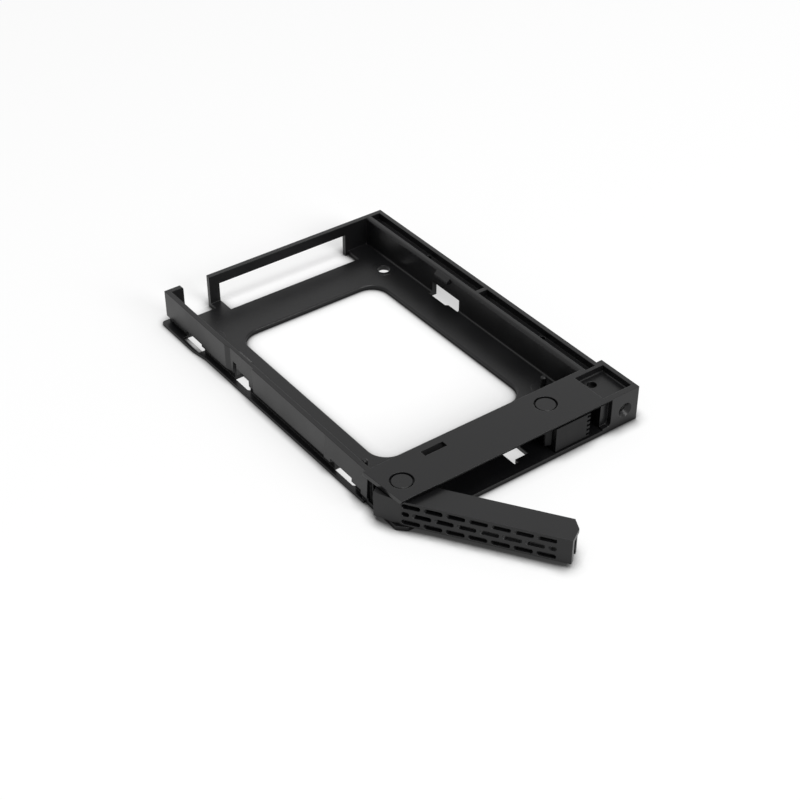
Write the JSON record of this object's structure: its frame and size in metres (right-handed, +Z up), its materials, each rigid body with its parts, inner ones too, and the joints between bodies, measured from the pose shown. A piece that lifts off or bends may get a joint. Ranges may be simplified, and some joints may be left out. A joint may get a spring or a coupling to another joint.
{
  "type": "hard drive tray",
  "caption": "Black moulded hot-swap tray for a 2.5-inch drive: windowed floor, side wall, hollow rail, and a front block with a swinging grille-faced lever and a sprung sliding latch.",
  "frame": {"origin": "midway between the two rear drive screw holes, on the plane that the tray rests on", "axes": "+X towards the hollow rail, +Y towards the connector end at the back, +Z up"},
  "size_m": [0.083, 0.153, 0.011],
  "materials": {
    "tray_plastic": "satin black moulded ABS with a fine texture",
    "lever_plastic": "satin black moulded ABS",
    "pin_plastic": "black moulded acetal",
    "spring_steel": "bright drawn spring wire"
  },
  "bodies": {
    "tray": {"tray_frame": "tray_plastic", "lever_pivot_pin": "pin_plastic", "latch_guide_pin": "pin_plastic", "lever_spring": "spring_steel", "latch_spring": "spring_steel"},
    "lever": {"lever_handle": "lever_plastic"},
    "latch": {"latch_slider": "lever_plastic"}
  },
  "joints": [
    {"name": "lever_swing", "type": "hinge", "parent": "tray", "child": "lever", "pos_m": [-0.03177, -0.09437, 0.0054], "axis": [0, 0, 1], "range_deg": [0, 55.67], "stiffness_Nm_per_rad": 0.002, "springref_deg": -11.46, "deforming": ["lever_spring"]},
    {"name": "latch_slide", "type": "slide", "parent": "tray", "child": "latch", "axis": [1, 0, 0], "range_m": [0, 0.003], "stiffness_N_per_m": 150, "springref_m": -0.004, "deforming": ["latch_spring"]}
  ]
}
